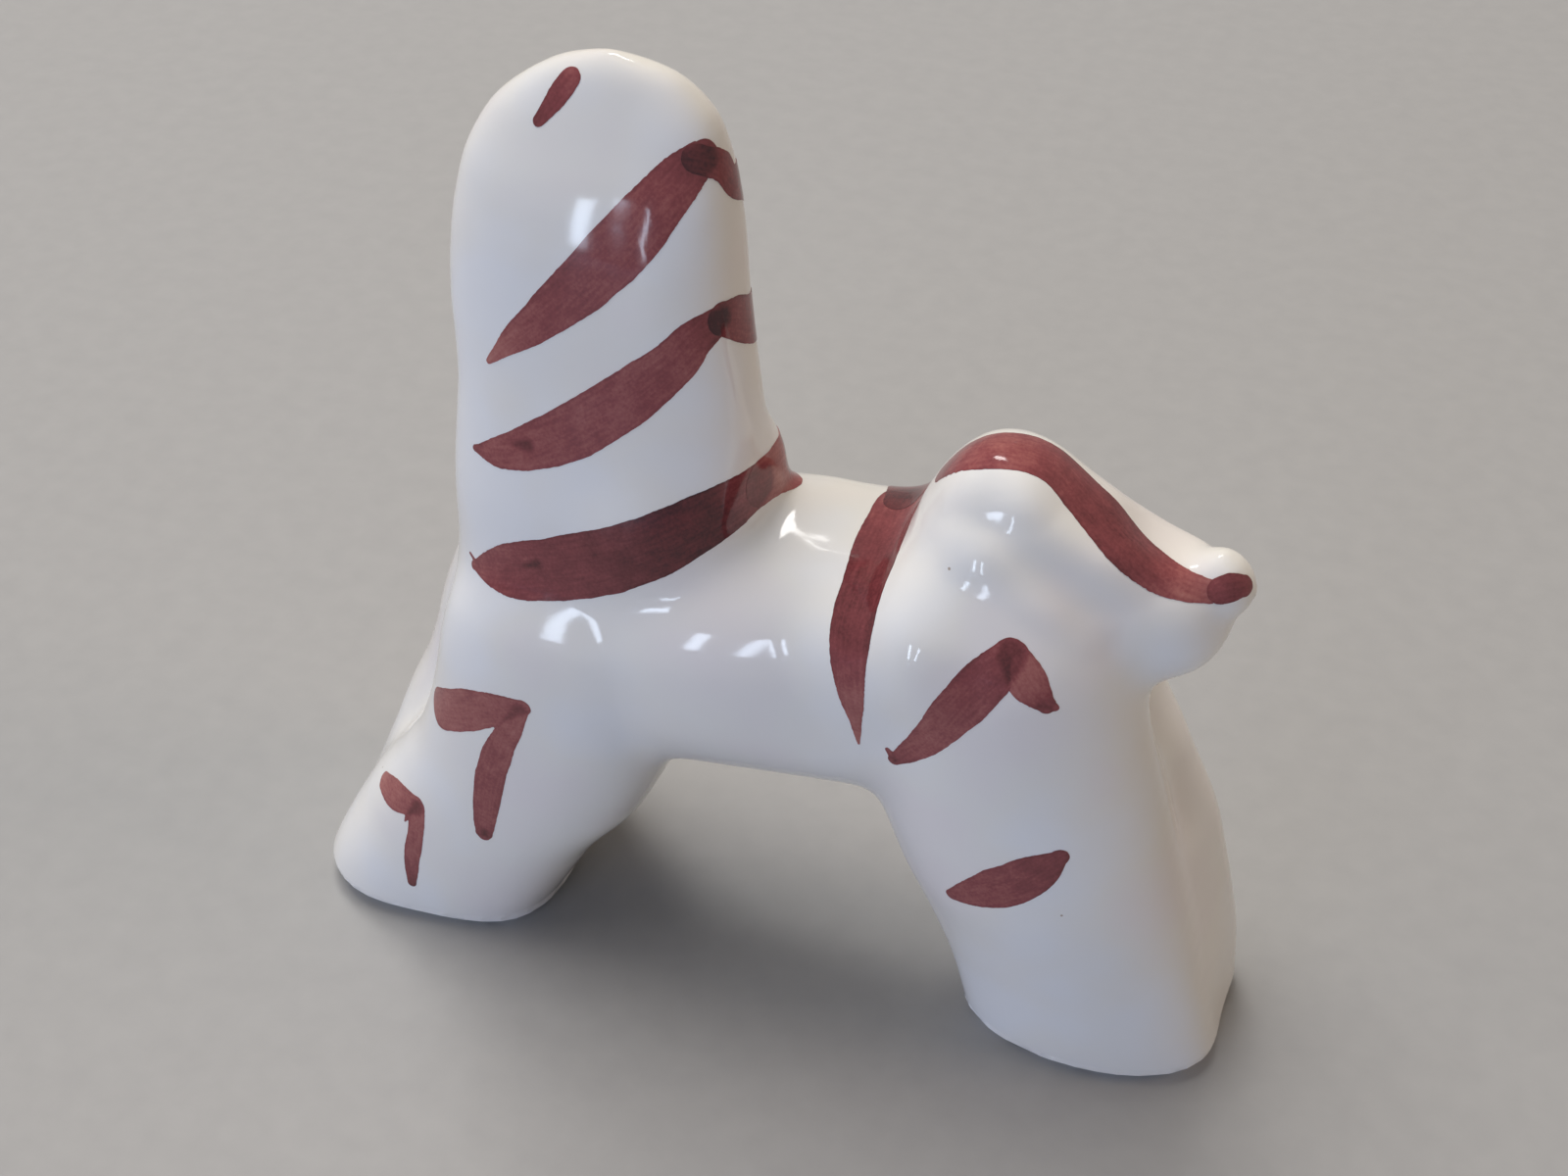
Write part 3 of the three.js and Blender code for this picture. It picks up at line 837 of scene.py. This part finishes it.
def ripple(material, shader, height, distance):
    """Feeds a height pattern to the shader as a faint relief."""
    made = node(material, "ShaderNodeBump", {"Height": height})
    made.inputs["Strength"].default_value = RIPPLE_STRENGTH
    made.inputs["Distance"].default_value = distance
    material.node_tree.links.new(made.outputs["Normal"], shader.inputs["Normal"])


print("glaze ripple size in mm:", RIPPLE_SIZE / MM)

# %% Glaze material
GLAZE_CREAM = (0.80, 0.765, 0.70)
GLAZE_WHITE = (0.80, 0.785, 0.755)
GLAZE_PINK = (0.79, 0.735, 0.69)
GLAZE_TINTS = [(0.36, GLAZE_PINK), (0.5, GLAZE_CREAM), (0.64, GLAZE_WHITE)]
SPECK_COLOR = (0.45, 0.36, 0.28)
SPECK_SPACING = 6 * MM
SPECK_SHARE = 0.022
SPECK_RARITY = 0.8
TINT_SIZE = 16 * MM
GLAZE_GLOSS = (0.05, 0.11)
GLOSS_SIZE = 5 * MM


def glaze_material():
    """Warm white glaze with soft tints, a few specks and a faint ripple."""
    material, shader, place = new_material("cream_glaze")
    tint = ramp(material, patches(material, place, TINT_SIZE), GLAZE_TINTS)
    cells = node(material, "ShaderNodeTexVoronoi", {"Vector": place})
    cells.inputs["Scale"].default_value = 1 / SPECK_SPACING
    near_middle = math_node(material, "LESS_THAN", cells.outputs["Distance"], SPECK_SHARE)
    luck = node(material, "ShaderNodeSeparateColor", {"Color": cells.outputs["Color"]}).outputs["Red"]
    chosen = math_node(material, "GREATER_THAN", luck, SPECK_RARITY)
    speck = math_node(material, "MULTIPLY", near_middle, chosen)
    color = blended(material, speck, tint, SPECK_COLOR)
    links = material.node_tree.links
    links.new(color, shader.inputs["Base Color"])
    gloss = spread(material, patches(material, place, GLOSS_SIZE), *GLAZE_GLOSS)
    links.new(gloss, shader.inputs["Roughness"])
    ripple(material, shader, patches(material, place, RIPPLE_SIZE), RIPPLE_HEIGHT)
    return material


glaze = glaze_material()
print("glaze:", glaze.name)

# %% Bare clay on the soles
SOLE_TONES = [(0.3, (0.42, 0.33, 0.25)), (0.7, (0.62, 0.53, 0.43))]
SOLE_ROUGHNESS = 0.85
SOLE_GRAIN = 0.5 * MM
SOLE_RELIEF = 0.1 * MM
FINE_DETAIL = 4


def sole_material():
    """Bare fired clay where the glaze was wiped off: matt and grainy."""
    material, shader, place = new_material("bare_clay")
    grain = patches(material, place, SOLE_GRAIN, FINE_DETAIL)
    material.node_tree.links.new(ramp(material, grain, SOLE_TONES), shader.inputs["Base Color"])
    shader.inputs["Roughness"].default_value = SOLE_ROUGHNESS
    ripple(material, shader, grain, SOLE_RELIEF)
    return material


body.data.materials.clear()
body.data.materials.append(glaze)
body.data.materials.append(sole_material())
print("body materials:", [material.name for material in body.data.materials])

# %% [markdown]
# ## The iron-red colour
# Iron-red is brushed on as a thin slip and sinks under the clear glaze. Where it is thin, the white
# shines through and it looks pink; where it is thick, it turns almost black. So one value, the
# depth of colour, drives a ramp. It starts from the load noted on each point, and gets streaks
# along the pull, soft clouds and fine grain, with a slightly fuller edge where the slip gathered.

# %% Iron-red material
RED_STOPS = [
    (0.0, (0.49, 0.225, 0.18)),
    (0.3, (0.365, 0.12, 0.105)),
    (0.55, (0.24, 0.055, 0.058)),
    (0.8, (0.135, 0.030, 0.032)),
    (1.0, (0.06, 0.018, 0.021)),
]
STREAK_STRETCH = (0.35, 3.2, 0)
STREAK_AMOUNT = 0.3
CLOUD_SIZE = 1.6 * MM
CLOUD_AMOUNT = 0.34
GRAIN_SIZE = 0.26 * MM
GRAIN_AMOUNT = 0.34
GRAIN_DETAIL = 3
EDGE_WIDTH = 0.3
EDGE_AMOUNT = 0.08
RED_GLOSS = (0.06, 0.13)
NOISE_MIDDLE = 0.5


def red_material():
    """Brushed iron-red under a clear glossy glaze."""
    material, shader, place = new_material("iron_red")
    load = node(material, "ShaderNodeAttribute", attribute_name="load").outputs["Fac"]
    brush = node(material, "ShaderNodeAttribute", attribute_name="brush").outputs["Vector"]
    stretched = node(material, "ShaderNodeVectorMath", {0: brush}, operation="MULTIPLY")
    stretched.inputs[1].default_value = STREAK_STRETCH
    streaks = patches(material, stretched.outputs["Vector"], 1)
    clouds = patches(material, place, CLOUD_SIZE)
    grain = patches(material, place, GRAIN_SIZE, GRAIN_DETAIL)
    depth = load
    for pattern, amount in ((streaks, STREAK_AMOUNT), (clouds, CLOUD_AMOUNT), (grain, GRAIN_AMOUNT)):
        even = math_node(material, "SUBTRACT", pattern, NOISE_MIDDLE)
        depth = math_node(material, "ADD", depth, math_node(material, "MULTIPLY", even, amount))
    inset = node(material, "ShaderNodeSeparateXYZ", {"Vector": brush}).outputs["Z"]
    fuller = spread(material, inset, EDGE_AMOUNT, 0, full=EDGE_WIDTH)
    depth = math_node(material, "ADD", depth, fuller)
    material.node_tree.links.new(ramp(material, depth, RED_STOPS), shader.inputs["Base Color"])
    material.node_tree.links.new(spread(material, clouds, *RED_GLOSS), shader.inputs["Roughness"])
    ripple(material, shader, patches(material, place, RIPPLE_SIZE), RIPPLE_HEIGHT)
    return material


iron_red = red_material()
for piece in strokes.values():
    piece.data.materials.append(iron_red)
print("strokes painted:", len(strokes))

# %% [markdown]
# ## The table and the light
# The figure stands on a plain pale table top, a round disc that is much wider than the view.

# %% Table top
FLOOR_RADIUS = 1.4
FLOOR_SEGMENTS = 128
TABLE_TONES = [(0.3, (0.365, 0.358, 0.352)), (0.7, (0.385, 0.378, 0.370))]
TABLE_MOTTLE = 3 * MM
TABLE_ROUGHNESS = 0.6


def table_material():
    """Pale grey table top with a barely visible mottle."""
    material, shader, place = new_material("table_top")
    mottle = patches(material, place, TABLE_MOTTLE, FINE_DETAIL)
    material.node_tree.links.new(ramp(material, mottle, TABLE_TONES), shader.inputs["Base Color"])
    shader.inputs["Roughness"].default_value = TABLE_ROUGHNESS
    return material


floor_mesh = bpy.data.meshes.new("floor")
floor_bm = bmesh.new()
bmesh.ops.create_circle(floor_bm, cap_ends=True, segments=FLOOR_SEGMENTS, radius=FLOOR_RADIUS)
floor_bm.to_mesh(floor_mesh)
floor_bm.free()
floor = bpy.data.objects.new("floor", floor_mesh)
floor.data.materials.append(table_material())
bpy.context.scene.collection.objects.link(floor)
print("floor radius in m:", FLOOR_RADIUS)

# %% [markdown]
# The room itself gives only a little light from all sides. Its wall is brighter than that where it
# is seen directly or in the glaze, so that no view has a dark backdrop. One brightness for both
# would be simpler, but it would leave the wall dark or fill the figure's shadow with light.

# %% Room light
ROOM_COLOR = (1.0, 0.97, 0.94)
ROOM_STRENGTH = 0.09
WALL_STRENGTH = 0.34

world = bpy.data.worlds.new("room")
world.use_nodes = True
background = world.node_tree.nodes["Background"]
background.inputs["Color"].default_value = (*ROOM_COLOR, 1)
ray = node(world, "ShaderNodeLightPath").outputs
wall_seen = math_node(world, "MAXIMUM", ray["Is Camera Ray"], ray["Is Glossy Ray"])
wall_seen = math_node(world, "MAXIMUM", wall_seen, ray["Is Transmission Ray"])
strength = spread(world, wall_seen, ROOM_STRENGTH, WALL_STRENGTH)
world.node_tree.links.new(strength, background.inputs["Strength"])
bpy.context.scene.world = world
print("room and wall strength:", ROOM_STRENGTH, WALL_STRENGTH)

# %% [markdown]
# Most of the light comes from large soft lamps, cool from the window side and warm from the right.
# They would show as dull grey patches in the glaze, so they are left out of reflections. A window
# with a wide and a narrow pane and a ceiling lamp are small and bright, so that their mirror images
# sit on the glaze as crisp highlights. A lamp is a direction, a size in metres, a power in watts and
# a colour. A pane is a shift to the side and a width, and both panes have the same glow in watts for
# each square metre of glass.

# %% Lamps
LAMP_DISTANCE = 1.2
WINDOW_TOWARDS = (-0.25, -0.91, 0.14)
WINDOW_COLOR = (0.70, 0.82, 1.0)
PANES = {"wide_pane": (-0.105, 0.075), "narrow_pane": (0.12, 0.05)}
PANE_HEIGHT = 0.34
PANE_GLOW = 36
CEILING_COLOR = (1.0, 0.985, 0.96)
CEILING_LAMP = ((-0.25, 0.41, 0.88), (0.29, 0.18), 2.3, CEILING_COLOR)
SOFT_LAMPS = {
    "soft_ceiling": ((-0.3, 0.26, 0.92), (0.9, 0.9), 12.2, CEILING_COLOR),
    "soft_window": ((-0.35, -0.93, 0.1), (1.0, 0.34), 5.1, (0.47, 0.61, 1.0)),
    "soft_left": ((-0.75, -0.25, 0.6), (0.7, 0.7), 2.7, (1.0, 0.93, 0.88)),
    "soft_right": ((0.85, 0.15, 0.5), (0.5, 0.5), 2.9, (1.0, 0.80, 0.66)),
}


def lamp(name, towards, size, power, color, shift=0):
    """A flat lamp that faces the figure; shift slides it sideways."""
    towards = Vector(towards).normalized()
    data = bpy.data.lights.new(name, "AREA")
    data.shape = "RECTANGLE"
    data.size, data.size_y = size
    data.energy = power
    data.color = color
    obj = bpy.data.objects.new(name, data)
    sideways = Vector((0, 0, 1)).cross(towards).normalized()
    obj.location = LOOK_AT + towards * LAMP_DISTANCE + sideways * shift
    obj.rotation_euler = towards.to_track_quat("Z", "Y").to_euler()
    bpy.context.scene.collection.objects.link(obj)
    return obj


for name, (shift, width) in PANES.items():
    power = PANE_GLOW * width * PANE_HEIGHT
    lamp(name, WINDOW_TOWARDS, (width, PANE_HEIGHT), power, WINDOW_COLOR, shift)
lamp("ceiling_lamp", *CEILING_LAMP)
for name, settings in SOFT_LAMPS.items():
    lamp(name, *settings).visible_glossy = False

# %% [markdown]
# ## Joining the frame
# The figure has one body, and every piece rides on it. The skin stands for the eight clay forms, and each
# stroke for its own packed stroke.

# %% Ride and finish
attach(body, "root")
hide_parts(*CLAY_FORMS)
for name, piece in strokes.items():
    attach(piece, "root")
    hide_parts(f"{name}_stroke")
bpy.context.scene.view_settings.view_transform = "Standard"
